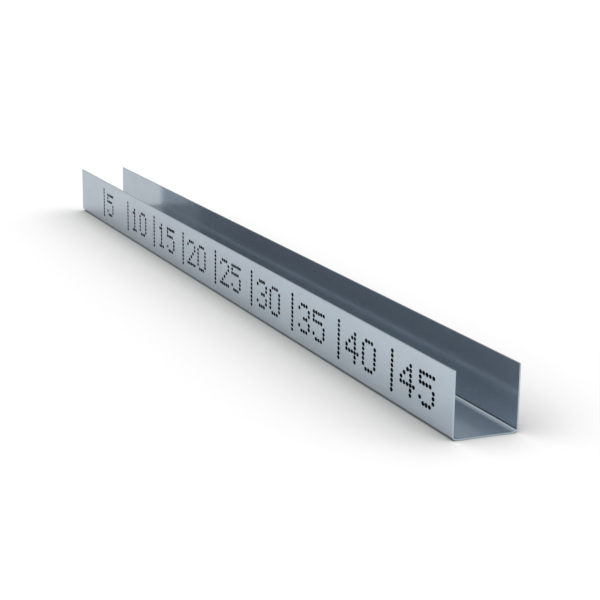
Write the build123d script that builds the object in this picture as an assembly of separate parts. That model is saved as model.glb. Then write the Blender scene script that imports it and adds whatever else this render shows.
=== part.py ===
"""Drywall track: one straight length of roll-formed galvanised steel channel.

The track is a single strip of sheet, folded up along both sides into a U. The web is the flat
base that is fixed to a ceiling, wall or floor, and the two flanges stand up from it and hold the
ends of profiles or studs between them. Both ends are cut square, and the long edges are the
plain slit edges of the strip.

X runs along the track, Y across the web and Z up from the web's underside. The origin is the
middle of the web's underside. All sizes are in millimetres.
"""

from build123d import *
from math import cos, radians
import os

# Sizes that are set by themselves
LENGTH = 500.0  # along X, from one square-cut end to the other
WEB_WIDTH = 28.0  # along Y, over the outer faces of the flanges
FLANGE_HEIGHT = 27.0  # along Z, from the web's underside to the flange edges
SHEET_THICKNESS = 0.6  # of the strip, the same in the web, bends and flanges
TIGHT_BEND_RADIUS = 1.0  # on the channel's side, where a bend comes off its flange
SLACK_BEND_RADIUS = 4.0  # on the channel's side, where the bend runs out into the web
TIGHT_TURN = 64.0  # degrees of each bend's 90 that are tight, and the rest is slack

# Sizes that follow from them
HALF_WEB = WEB_WIDTH / 2
SLACK_TURN = 90.0 - TIGHT_TURN
TIGHT_OUTSIDE = TIGHT_BEND_RADIUS + SHEET_THICKNESS
SLACK_OUTSIDE = SLACK_BEND_RADIUS + SHEET_THICKNESS
BEND_HEIGHT = SLACK_OUTSIDE - (SLACK_OUTSIDE - TIGHT_OUTSIDE) * cos(radians(SLACK_TURN))


def outer_face_line():
    """The strip's outer face seen from the end: down one flange, across the web, up the other.
    Each bend is two arcs that run on into each other, so the face has no corner in it."""
    flange = Line((-HALF_WEB, FLANGE_HEIGHT), (-HALF_WEB, BEND_HEIGHT))
    tight = JernArc(flange @ 1, flange % 1, TIGHT_OUTSIDE, TIGHT_TURN)
    slack = JernArc(tight @ 1, tight % 1, SLACK_OUTSIDE, SLACK_TURN)
    web = Line(slack @ 1, (-(slack @ 1).X, 0))
    slack = JernArc(web @ 1, web % 1, SLACK_OUTSIDE, SLACK_TURN)
    tight = JernArc(slack @ 1, slack % 1, TIGHT_OUTSIDE, TIGHT_TURN)
    Line(tight @ 1, (HALF_WEB, FLANGE_HEIGHT))


def channel_section():
    """The cross-section: the outer face line thickened inwards by the sheet, so that every
    bend keeps the full sheet between arcs about the same centres."""
    with BuildSketch(Plane.YZ) as section:
        with BuildLine():
            outer_face_line()
            offset(amount=SHEET_THICKNESS, side=Side.LEFT)
        make_face()
    return section.sketch


def track():
    """The section drawn out along X, half of the length to each side of the origin."""
    return extrude(channel_section(), amount=LENGTH / 2, both=True)


os.makedirs("parts", exist_ok=True)
export_step(track(), "parts/track.step")
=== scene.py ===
import math
import random

import bpy
from mathutils import Matrix, Vector


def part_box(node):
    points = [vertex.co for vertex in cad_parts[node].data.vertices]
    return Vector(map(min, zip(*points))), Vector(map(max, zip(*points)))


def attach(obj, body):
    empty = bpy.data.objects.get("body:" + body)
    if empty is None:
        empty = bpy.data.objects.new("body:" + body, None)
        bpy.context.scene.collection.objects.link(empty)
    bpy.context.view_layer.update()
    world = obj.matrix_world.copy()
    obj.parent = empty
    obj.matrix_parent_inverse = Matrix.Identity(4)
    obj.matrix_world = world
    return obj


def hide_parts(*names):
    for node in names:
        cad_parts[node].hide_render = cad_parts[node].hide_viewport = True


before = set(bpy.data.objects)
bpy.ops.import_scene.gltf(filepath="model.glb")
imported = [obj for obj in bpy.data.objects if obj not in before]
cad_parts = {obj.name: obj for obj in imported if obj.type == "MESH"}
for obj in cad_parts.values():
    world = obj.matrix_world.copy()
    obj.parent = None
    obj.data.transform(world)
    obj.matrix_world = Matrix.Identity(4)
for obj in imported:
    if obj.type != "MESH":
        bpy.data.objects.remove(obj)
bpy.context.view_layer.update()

# Every length below is in metres, but for the camera's lens and sensor
MM = 0.001

# The channel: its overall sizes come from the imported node, its sheet and bends are written here
TRACK_LOW, TRACK_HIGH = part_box("track")
LENGTH = TRACK_HIGH.x - TRACK_LOW.x
WIDTH = TRACK_HIGH.y - TRACK_LOW.y
HEIGHT = TRACK_HIGH.z - TRACK_LOW.z
SHEET = 0.6 * MM
TIGHT_BEND = 1.0 * MM  # a bend's inner radius on the flange's side
SLACK_BEND = 4.0 * MM  # and on the web's side, where the bend runs out into it
TIGHT_TURN = 64.0  # degrees of the bend's 90 that are tight
EDGE_ROUND = 0.07 * MM  # how far the slit edges and the sawn ends are broken

# Painted shade on the channel's inner faces: a dark line along the channel's side of each bend, by
# the degrees that the sheet has turned up from the web, and how much of that shade the bend beside
# it and the web get, where the line is 1
SHADE_LINE_FROM, SHADE_LINE_TO = 55.0, 82.0
PAINTED_SHADE_FROM = 30.0
BEND_PAINTED_SHADE = 0.36
WEB_PAINTED_SHADE = 0.19

# How finely the channel is meshed
BEND_STEPS = 10  # in each of a bend's two arcs
EDGE_STEPS = 4
RING_SPACING = 10 * MM
SUPPORT = 0.12 * MM  # a line of points this near to each bend and edge keeps the flats flat
LAYOUT_GAP = 2 * MM  # between the pieces of the bake's layout

# The print on the front flange: a ruler in centimetres, in the dots of an ink-jet
FRONT_FACE_Y = TRACK_LOW.y
BAND_CENTRE_Z = 13.7 * MM
RULER_STEP_CM = 5
TICK_DOTS = 9
TICK_TO_NUMBER = 3  # in columns of dots
DOT_PITCH_X = 2.65 * MM
DOT_PITCH_Z = 1.99 * MM
DOT_LENGTH = 2.46 * MM
DOT_HEIGHT = 1.79 * MM
DOT_SIDES = 18
DOT_SPREAD = 0.05  # how much larger or smaller than the rest a dot may be
DOT_WOBBLE = 0.05  # how uneven its rim is, as a share of its radius
DOT_DRIFT = 0.05 * MM  # how far it lands from its place
INK_SEED = 7

# A dot's rings, from its back inside the sheet, up its rim, to its top: (share of its size, depth)
INK_PROUD = 0.015 * MM
INK_SUNK = 0.03 * MM
DOT_RINGS = ((1.0, INK_SUNK), (1.0, -0.4 * INK_PROUD), (0.8, -INK_PROUD))

DIGITS = {
    "0": (" ### ", "#   #", "#   #", "#   #", "#   #", "#   #", " ### "),
    "1": ("  #  ", " ##  ", "  #  ", "  #  ", "  #  ", "  #  ", " ### "),
    "2": (" ### ", "#   #", "    #", "   # ", "  #  ", " #   ", "#####"),
    "3": (" ### ", "#   #", "    #", "  ## ", "    #", "#   #", " ### "),
    "4": ("   # ", "  ## ", " # # ", "#  # ", "#####", "   # ", "   # "),
    "5": ("#####", "#    ", "#### ", "    #", "    #", "#   #", " ### "),
}

# The zinc. A scale is how many times a metre a noise changes along X, Y and Z
ZINC = (0.504, 0.574, 0.643)
METALLIC = 0.825  # the rest is the light that zinc scatters
EDGE_TINT = 0.65  # darkens what is reflected nearly along the face
ROUGHNESS = 0.114
ANISOTROPY = 0.58
ANISOTROPY_TURN = 0.25  # of a full turn: reflections spread across the rolling direction
MOTTLE_SCALE = (60.0, 90.0, 90.0)
MOTTLE_SPREAD = 0.03  # how much lighter and darker the mottling makes the zinc
ROUGHNESS_SPREAD = 0.01  # and how much rougher and smoother
GRAIN_SCALE = (6.0, 400.0, 400.0)
GRAIN_SPREAD = 0.02  # how much lighter and darker the rolling grain makes it
GRAIN_BUMP = 0.05
GRAIN_DEPTH = 0.02 * MM
SHADE_LINE_TONE = 0.3  # of the zinc's colour that is left where the painted shade is full, on the line inside each bend
SAWN_STEEL, SAWN_ROUGHNESS = (0.44, 0.525, 0.62), 0.25
SLIT_STEEL, SLIT_ROUGHNESS = (0.22, 0.25, 0.28), 0.4

# The ink, blackest where it lies thick
INK_THICK, INK_THICK_ROUGHNESS = (0.001, 0.001, 0.0015), 0.45
INK_THIN, INK_THIN_ROUGHNESS = (0.004, 0.0045, 0.006), 0.6
INK_SHEEN = 0.002  # dead matt: seen this far along the face, any more sheen turns the black grey
INK_SCALE = (3000.0, 3000.0, 3000.0)

NOISE_DETAIL, NOISE_ROUGHNESS = 2.0, 0.55
NOISE_LOW, NOISE_HIGH = 0.3, 0.7  # where nearly all of a noise lies
SPECK_LOW = 0.35  # where its noise is below this, the ink is at its thickest

# The floor as it is seen, by how much of the sky it sees itself: a painted shadow round the channel,
# on top of the one its light casts
FLOOR_DEEP = (0.34, 0.365, 0.38)  # painted shadow close by the channel, up to DEEP of the sky
FLOOR_SOFT = (0.93, 0.935, 0.925)  # painted soft shadow from SOFT_LOW to SOFT_HIGH of it
FLOOR_CLEAR = (1.046, 1.046, 1.046)  # and from CLEAR on
DEEP, SOFT_LOW, SOFT_HIGH, CLEAR = 0.15, 0.70, 0.86, 0.96
SHADOW_REACH = 0.2  # nothing further away than this shades the floor
SHADOW_SAMPLES = 16
FLOOR_LIGHTS = (0.8, 0.8, 0.8)  # the floor's colour as it lights the channel
FLOOR_SIZE = 40.0
FLOOR_GAP = 0.01 * MM  # keeps the floor's face apart from the web's underside

LIGHT_LEAN = (-0.3, -0.1, 0.0)  # how much brighter than its middle the sky is along each axis
BOUNCES, GLOSSY_BOUNCES = 16, 12  # enough for light that crosses the channel many times

# The camera, fitted to the corners of both ends of the channel
LENS, SENSOR = 92.56, 36.0  # in millimetres
AZIMUTH, ELEVATION, ROLL = 66.51, 13.655, 0.737  # in degrees
DISTANCE = 793.65 * MM
AIM = Vector((13.05, 27.5, -4.11)) * MM
CLIP_NEAR, CLIP_FAR = 0.01, 100.0


def add_object(name, data):
    """A new object of the scene that shows data."""
    added = bpy.data.objects.new(name, data)
    bpy.context.scene.collection.objects.link(added)
    return added


def bend_arc(centre_y, centre_z, radius, turns):
    """Points of a bend, as in centreline(), at each of turns: the radians turned up from the web."""
    ways = [(math.sin(turn), -math.cos(turn)) for turn in turns]
    return [(centre_y + radius * ny, centre_z + radius * nz, ny, nz) for ny, nz in ways]


def centreline(inset):
    """The middle of the sheet from the front flange's edge to the back one's, as (y, z, ny, nz):
    a point and the way to the outer face there. inset is how far an end's edge is broken."""
    tight, slack = TIGHT_BEND + SHEET / 2, SLACK_BEND + SHEET / 2
    turned = math.radians(90.0 - TIGHT_TURN)
    face_y = WIDTH / 2 - SHEET / 2
    tight_y = face_y - tight
    slack_y = tight_y - (slack - tight) * math.sin(turned)
    slack_z = SHEET / 2 + slack
    tight_z = slack_z - (slack - tight) * math.cos(turned)
    edge_z = HEIGHT - inset - EDGE_ROUND
    slack_turns = [turned * i / BEND_STEPS for i in range(BEND_STEPS)]
    tight_turns = [turned + (math.pi / 2 - turned) * i / BEND_STEPS for i in range(BEND_STEPS + 1)]
    half = [(0.0, SHEET / 2, 0.0, -1.0), (slack_y - SUPPORT, SHEET / 2, 0.0, -1.0)]
    half += bend_arc(slack_y, slack_z, slack, slack_turns)
    half += bend_arc(tight_y, tight_z, tight, tight_turns)
    half += [(face_y, z, 1.0, 0.0) for z in (tight_z + SUPPORT, edge_z - SUPPORT, edge_z)]
    return [(-y, z, -ny, nz) for y, z, ny, nz in reversed(half[1:])] + half


def edge_round(side, inset):
    """Points over the slit edge of one flange, from its outer face to its inner one. side is 1
    for the back flange and -1 for the front one."""
    quarter = math.pi / 2
    middle = WIDTH / 2 - SHEET / 2
    reach = SHEET / 2 - inset - EDGE_ROUND
    z = HEIGHT - inset - EDGE_ROUND
    rounds = [(reach, quarter * i / EDGE_STEPS) for i in range(1, EDGE_STEPS + 1)]
    rounds += [(-reach, quarter + quarter * i / EDGE_STEPS) for i in range(EDGE_STEPS)]
    return [
        (side * (middle + centre + EDGE_ROUND * math.cos(turn)), z + EDGE_ROUND * math.sin(turn))
        for centre, turn in rounds
    ]


def inner_painted_shade(ny, nz):
    """How much painted shade the channel's inner face gets where the way to the outer face is (ny,
    nz).
    """
    turn = math.degrees(math.atan2(abs(ny), -nz))
    if turn == 0.0:
        return WEB_PAINTED_SHADE
    if SHADE_LINE_FROM < turn < SHADE_LINE_TO:
        return 1.0
    return BEND_PAINTED_SHADE if PAINTED_SHADE_FROM < turn <= SHADE_LINE_FROM else 0.0


def section(inset):
    """The closed outline of the sheet in the YZ plane, as (y, z, slit, mark): slit is 1 on the slit
    edges, and mark is the painted shade on the inner face, full on the line inside each bend. It
    runs from the front flange's edge round the outer face and back along the inner one."""
    half_sheet = SHEET / 2 - inset
    line = centreline(inset)
    outer = [(y + ny * half_sheet, z + nz * half_sheet, 0.0, 0.0) for y, z, ny, nz in line]
    inner = [
        (y - ny * half_sheet, z - nz * half_sheet, 0.0, inner_painted_shade(ny, nz))
        for y, z, ny, nz in reversed(line)
    ]
    back = [(y, z, 1.0, 0.0) for y, z in edge_round(1, inset)]
    front = [(y, z, 1.0, 0.0) for y, z in reversed(edge_round(-1, inset))]
    return outer + back + inner + front


def stations():
    """(x, inset, cut) for each ring along the channel. The last few at each end break its edge."""
    flat_end = LENGTH / 2 - EDGE_ROUND
    inner = flat_end - SUPPORT
    count = round(2 * inner / RING_SPACING)
    rings = [(inner * (2 * i / count - 1), 0.0, 0.0) for i in range(count + 1)]
    end = []
    for i in range(EDGE_STEPS + 1):
        turn = math.pi / 2 * i / EDGE_STEPS
        x = flat_end + EDGE_ROUND * math.sin(turn)
        end.append((x, EDGE_ROUND * (1 - math.cos(turn)), 1.0 if i else 0.0))
    return [(-x, inset, cut) for x, inset, cut in reversed(end)] + rings + end


def end_faces(count):
    """The faces that close an end, by the numbers of its ring's count points: quads across the
    sheet, and one face over the rounding of each slit edge."""
    path_count = len(centreline(0.0))
    inner_end = 2 * path_count + 2 * EDGE_STEPS - 1
    faces = [(i, i + 1, inner_end - i - 1, inner_end - i) for i in range(path_count - 1)]
    faces.append(tuple(range(path_count - 1, inner_end - path_count + 2)))
    faces.append(tuple(range(inner_end, count)) + (0,))
    return faces


def track_faces(ring_count, count):
    """The quads between each ring of count points and the next, and both ends."""
    last = (ring_count - 1) * count
    faces = []
    for first in range(0, last, count):
        for i in range(count):
            a, b = first + i, first + (i + 1) % count
            faces.append((a, b, b + count, a + count))
    ends = end_faces(count)
    faces += [tuple(i + last for i in face) for face in ends]
    faces += [tuple(reversed(face)) for face in ends]
    return faces


def lay_flat(mesh, outline):
    """The bake's layout: the strip's surface unrolled in two halves, one above the other, with
    the end faces beside them. U runs along the track, so it also gives the rolling direction."""
    along = [0.0]
    for a, b in zip(outline, outline[1:] + outline[:1]):
        along.append(along[-1] + math.hypot(b[0] - a[0], b[1] - a[1]))
    girth = along[-1]
    side = 2 * girth + 3 * LAYOUT_GAP
    layout = mesh.uv_layers.new(name="OFBake")
    spot = 0
    for face in mesh.polygons:
        corners = [mesh.loops[i].vertex_index for i in face.loop_indices]
        numbers = [corner % len(outline) for corner in corners]
        x_middle = sum(mesh.vertices[i].co.x for i in corners) / len(corners)
        is_end = len({corner // len(outline) for corner in corners}) == 1
        wraps = max(numbers) - min(numbers) == len(outline) - 1
        for corner, number in zip(corners, numbers):
            x, y, z = mesh.vertices[corner].co
            if is_end:
                u = LENGTH / 2 + WIDTH + y
                v = LENGTH / 4 + math.copysign(HEIGHT, x_middle) + z
            else:
                u = x if x_middle > 0 else x + LENGTH / 2
                v = along[len(outline) if wraps and number == 0 else number]
                v += 0 if x_middle > 0 else girth + LAYOUT_GAP
            layout.data[spot].uv = ((u + LAYOUT_GAP) / side, (v + LAYOUT_GAP) / side)
            spot += 1


def make_track():
    """The channel as one closed mesh, with rounded bends and broken edges."""
    rings = stations()
    outline = section(0.0)
    points = []
    shares = {"sawn_end": [], "slit_edge": [], "inner_painted_shade": []}
    for x, inset, cut in rings:
        for y, z, slit, mark in section(inset):
            points.append((x, y, z))
            shares["sawn_end"].append(cut)
            shares["slit_edge"].append(slit)
            shares["inner_painted_shade"].append(mark)
    mesh = bpy.data.meshes.new("track_sheet")
    mesh.from_pydata(points, [], track_faces(len(rings), len(outline)))
    for name, values in shares.items():
        mesh.attributes.new(name, "FLOAT", "POINT").data.foreach_set("value", values)
    lay_flat(mesh, outline)
    mesh.shade_smooth()
    mesh.update()
    return add_object("track_sheet", mesh)


def dot_rows(count):
    """The heights of count rows of dots, from the top one down, about the middle of the print."""
    top = BAND_CENTRE_Z + (count - 1) / 2 * DOT_PITCH_Z
    return [top - i * DOT_PITCH_Z for i in range(count)]


def dot_places():
    """Where the ink's dots go on the front flange, as (x, z)."""
    places = []
    step = RULER_STEP_CM * 10 * MM
    rows = dot_rows(len(DIGITS["0"]))
    for mark in range(1, round(LENGTH / step)):
        tick_x = -LENGTH / 2 + mark * step
        places += [(tick_x, z) for z in dot_rows(TICK_DOTS)]
        column = TICK_TO_NUMBER
        for digit in str(mark * RULER_STEP_CM):
            for z, line in zip(rows, DIGITS[digit]):
                printed = [column + i for i, sign in enumerate(line) if sign == "#"]
                places += [(tick_x + spot * DOT_PITCH_X, z) for spot in printed]
            column += len(DIGITS[digit][0]) + 1
    return places


def dot_points(rng, x, z):
    """The points of one dot that was aimed at (x, z), ring by ring."""
    x += rng.uniform(-DOT_DRIFT, DOT_DRIFT)
    z += rng.uniform(-DOT_DRIFT, DOT_DRIFT)
    size = rng.uniform(1 - DOT_SPREAD, 1 + DOT_SPREAD)
    rim = [rng.uniform(1 - DOT_WOBBLE, 1 + DOT_WOBBLE) * size for _ in range(DOT_SIDES)]
    points = []
    for share, depth in DOT_RINGS:
        for i, reach in enumerate(rim):
            turn = 2 * math.pi * i / DOT_SIDES
            points.append((
                x + DOT_LENGTH / 2 * reach * share * math.cos(turn),
                FRONT_FACE_Y + depth,
                z + DOT_HEIGHT / 2 * reach * share * math.sin(turn),
            ))
    return points


def dot_faces(first):
    """The faces of a dot whose points start at first: its sides, its top and its back."""
    faces = []
    top = first + (len(DOT_RINGS) - 1) * DOT_SIDES
    for ring in range(first, top, DOT_SIDES):
        for i in range(DOT_SIDES):
            a, b = ring + i, ring + (i + 1) % DOT_SIDES
            faces.append((a, b, b + DOT_SIDES, a + DOT_SIDES))
    faces.append(tuple(range(top, top + DOT_SIDES)))
    faces.append(tuple(reversed(range(first, first + DOT_SIDES))))
    return faces


def make_ink():
    """All dots as one mesh of thin closed discs with uneven rims, their backs inside the sheet."""
    rng = random.Random(INK_SEED)
    points, faces = [], []
    for x, z in dot_places():
        faces += dot_faces(len(points))
        points += dot_points(rng, x, z)
    mesh = bpy.data.meshes.new("ink_marks")
    mesh.from_pydata(points, [], faces)
    mesh.update()
    return add_object("ink_marks", mesh)


class Nodes:
    """A material's node tree, with short calls to add and join nodes."""

    def __init__(self, name):
        self.material = bpy.data.materials.new(name)
        self.material.use_nodes = True
        self.tree = self.material.node_tree
        self.tree.nodes.clear()

    def add(self, kind, **settings):
        """A new node with its settings, such as its operation."""
        node = self.tree.nodes.new("ShaderNode" + kind)
        for key, value in settings.items():
            setattr(node, key, value)
        return node

    def set(self, node, **inputs):
        """Plain values on a node's sockets, by their names with _ for each space."""
        for key, value in inputs.items():
            node.inputs[key.replace("_", " ")].default_value = value

    def join(self, out, into):
        self.tree.links.new(out, into)

    def feed(self, value, socket):
        """Gives a socket a number, a colour, or what comes out of another node."""
        if isinstance(value, tuple):
            socket.default_value = (*value, 1.0)
        elif isinstance(value, (int, float)):
            socket.default_value = value
        else:
            self.join(value, socket)

    def noise(self, scale):
        """A noise over the object's own coordinates, which scale stretches."""
        where = self.add("TexCoord")
        mapping = self.add("Mapping")
        node = self.add("TexNoise")
        self.set(mapping, Scale=scale)
        self.set(node, Scale=1.0, Detail=NOISE_DETAIL, Roughness=NOISE_ROUGHNESS)
        self.join(where.outputs["Object"], mapping.inputs["Vector"])
        self.join(mapping.outputs["Vector"], node.inputs["Vector"])
        return node.outputs["Fac"]

    def ramp(self, value, low, high, to_low=0.0, to_high=1.0):
        """value from low..high moved to to_low..to_high, and kept there."""
        node = self.add("MapRange")
        self.set(node, From_Min=low, From_Max=high, To_Min=to_low, To_Max=to_high)
        self.join(value, node.inputs["Value"])
        return node.outputs["Result"]

    def larger(self, a, b):
        node = self.add("Math", operation="MAXIMUM")
        self.join(a, node.inputs[0])
        self.join(b, node.inputs[1])
        return node.outputs["Value"]

    def mix(self, kind, share, a, b, **settings):
        """a turned into b by share, where kind is what both are: Color or Float."""
        node = self.add("Mix", **settings)
        sockets = {socket.identifier: socket for socket in node.inputs}
        self.feed(share, sockets["Factor_Float"])
        self.feed(a, sockets["A_" + kind])
        self.feed(b, sockets["B_" + kind])
        return next(out for out in node.outputs if out.identifier == "Result_" + kind)

    def blend(self, share, a, b):
        """Colour a turned into colour b by share."""
        return self.mix("Color", share, a, b, data_type="RGBA")

    def times(self, a, b):
        """Colour a multiplied by colour b."""
        return self.mix("Color", 1.0, a, b, data_type="RGBA", blend_type="MULTIPLY")

    def shift(self, share, a, b):
        """Number a turned into number b by share."""
        return self.mix("Float", share, a, b, data_type="FLOAT")

    def grey(self, value):
        """A number as a colour."""
        node = self.add("CombineColor")
        for socket in node.inputs:
            self.join(value, socket)
        return node.outputs["Color"]

    def mark(self, name):
        """One of the mesh's own shares, such as where its slit edges are."""
        return self.add("Attribute", attribute_name=name).outputs["Fac"]

    def surface(self, **inputs):
        """A principled shader with plain values, as the material's surface."""
        shader = self.add("BsdfPrincipled")
        self.set(shader, **inputs)
        self.finish(shader)
        return shader

    def finish(self, shader):
        output = self.add("OutputMaterial")
        self.join(shader.outputs["BSDF"], output.inputs["Surface"])


def zinc_material():
    """Galvanised steel: zinc with mottling and rolling grain, painted shade on the inner faces,
    darkest on a line inside each bend, and bare steel on the slit edges and the sawn ends."""
    n = Nodes("galvanised_steel")
    shader = n.surface(
        Metallic=METALLIC,
        Specular_Tint=(EDGE_TINT, EDGE_TINT, EDGE_TINT, 1.0),
        Anisotropic=ANISOTROPY,
        Anisotropic_Rotation=ANISOTROPY_TURN,
    )
    rolling = n.add("Tangent", direction_type="UV_MAP", uv_map="OFBake")
    n.join(rolling.outputs["Tangent"], shader.inputs["Tangent"])
    grain = n.noise(GRAIN_SCALE)
    mottle = n.noise(MOTTLE_SCALE)
    light = tuple(c * (1 + MOTTLE_SPREAD) for c in ZINC)
    dark = tuple(c * (1 - MOTTLE_SPREAD) for c in ZINC)
    smooth, coarse = ROUGHNESS - ROUGHNESS_SPREAD, ROUGHNESS + ROUGHNESS_SPREAD
    tone = n.blend(n.ramp(mottle, NOISE_LOW, NOISE_HIGH), light, dark)
    rough = n.ramp(mottle, NOISE_LOW, NOISE_HIGH, smooth, coarse)
    streak = n.ramp(grain, NOISE_LOW, NOISE_HIGH, 1 - GRAIN_SPREAD, 1 + GRAIN_SPREAD)
    tone = n.times(tone, n.grey(streak))
    # painted shade: the inner faces darkened, most of all on a line inside each bend
    tone = n.blend(n.mark("inner_painted_shade"), tone, n.times(tone, (SHADE_LINE_TONE,) * 3))
    for name, colour, roughness in (
        ("slit_edge", SLIT_STEEL, SLIT_ROUGHNESS),
        ("sawn_end", SAWN_STEEL, SAWN_ROUGHNESS),
    ):
        share = n.mark(name)
        tone = n.blend(share, tone, colour)
        rough = n.shift(share, rough, roughness)
    n.join(tone, shader.inputs["Base Color"])
    n.join(rough, shader.inputs["Roughness"])
    bump = n.add("Bump")
    n.set(bump, Strength=GRAIN_BUMP, Distance=GRAIN_DEPTH)
    n.join(grain, bump.inputs["Height"])
    n.join(bump.outputs["Normal"], shader.inputs["Normal"])
    return n.material


def ink_material():
    """Matt black ink that lies thicker in some specks than in others."""
    n = Nodes("black_ink")
    shader = n.surface(Specular_IOR_Level=INK_SHEEN)
    thin = n.ramp(n.noise(INK_SCALE), SPECK_LOW, NOISE_HIGH)
    rough = n.ramp(thin, 0.0, 1.0, INK_THICK_ROUGHNESS, INK_THIN_ROUGHNESS)
    n.join(n.blend(thin, INK_THICK, INK_THIN), shader.inputs["Base Color"])
    n.join(rough, shader.inputs["Roughness"])
    return n.material


def floor_material():
    """White to look at and in reflections, with a painted soft shadow round the channel on top of
    the one its light casts, and an even pale grey as it lights the channel."""
    n = Nodes("white_floor")
    path = n.add("LightPath")
    seen = n.larger(path.outputs["Is Camera Ray"], path.outputs["Is Glossy Ray"])
    seen = n.larger(seen, path.outputs["Is Transmission Ray"])
    openness = n.add("AmbientOcclusion", samples=SHADOW_SAMPLES)
    n.set(openness, Distance=SHADOW_REACH)
    # painted shadow: the floor's colour darkens where the channel hides the sky from it
    near = n.ramp(openness.outputs["AO"], DEEP, SOFT_LOW)
    far = n.ramp(openness.outputs["AO"], SOFT_HIGH, CLEAR)
    tone = n.blend(far, n.blend(near, FLOOR_DEEP, FLOOR_SOFT), FLOOR_CLEAR)
    diffuse = n.add("BsdfDiffuse")
    n.join(n.blend(seen, FLOOR_LIGHTS, tone), diffuse.inputs["Color"])
    n.finish(diffuse)
    return n.material


def make_floor():
    """A square floor just under the channel, which isn't part of the object."""
    half = FLOOR_SIZE / 2
    corners = [(-half, -half, 0.0), (half, -half, 0.0), (half, half, 0.0), (-half, half, 0.0)]
    mesh = bpy.data.meshes.new("floor")
    mesh.from_pydata(corners, [], [(0, 1, 2, 3)])
    mesh.materials.append(floor_material())
    floor = add_object("floor", mesh)
    floor.location.z = TRACK_LOW.z - FLOOR_GAP


def light_scene():
    """A white sky. Matt faces get a little more of its light from -X and -Y."""
    world = bpy.data.worlds.new("white_studio")
    bpy.context.scene.world = world
    world.use_nodes = True
    tree = world.node_tree
    background = tree.nodes["Background"]
    background.inputs["Color"].default_value = (1.0, 1.0, 1.0, 1.0)
    where = tree.nodes.new("ShaderNodeTexCoord")
    lean = tree.nodes.new("ShaderNodeVectorMath")
    lean.operation = "DOT_PRODUCT"
    lean.inputs[1].default_value = LIGHT_LEAN
    path = tree.nodes.new("ShaderNodeLightPath")
    strength = tree.nodes.new("ShaderNodeMath")
    strength.operation = "MULTIPLY_ADD"
    strength.inputs[2].default_value = 1.0
    tree.links.new(where.outputs["Generated"], lean.inputs[0])
    tree.links.new(lean.outputs["Value"], strength.inputs[0])
    tree.links.new(path.outputs["Is Diffuse Ray"], strength.inputs[1])
    tree.links.new(strength.outputs["Value"], background.inputs["Strength"])


def set_picture():
    """How colours are shown and light is followed. Size and quality are left to the renderer."""
    scene = bpy.context.scene
    scene.view_settings.view_transform = "Standard"
    scene.cycles.caustics_reflective = False
    scene.cycles.caustics_refractive = False
    scene.cycles.max_bounces = BOUNCES
    scene.cycles.glossy_bounces = GLOSSY_BOUNCES
    scene.cycles.use_denoising = True


def make_camera():
    """The photo's view: AIM is seen from DISTANCE away, and the camera is rolled a little."""
    a, e, r = (math.radians(v) for v in (AZIMUTH, ELEVATION, ROLL))
    back = Vector((math.sin(a) * math.cos(e), -math.cos(a) * math.cos(e), math.sin(e)))
    level = Vector((math.cos(a), math.sin(a), 0.0))
    upright = back.cross(level)
    right = math.cos(r) * level + math.sin(r) * upright
    up = back.cross(right)
    eye = AIM + back * DISTANCE
    data = bpy.data.cameras.new("camera")
    data.lens, data.sensor_width = LENS, SENSOR
    data.clip_start, data.clip_end = CLIP_NEAR, CLIP_FAR
    camera = add_object("camera", data)
    camera.matrix_world = Matrix((
        (right.x, up.x, back.x, eye.x),
        (right.y, up.y, back.y, eye.y),
        (right.z, up.z, back.z, eye.z),
        (0, 0, 0, 1),
    ))
    bpy.context.scene.camera = camera


make_camera()
light_scene()
set_picture()
make_floor()

track = make_track()
track.data.materials.append(zinc_material())
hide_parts("track")
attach(track, "root")

ink = make_ink()
ink.data.materials.append(ink_material())
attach(ink, "root")
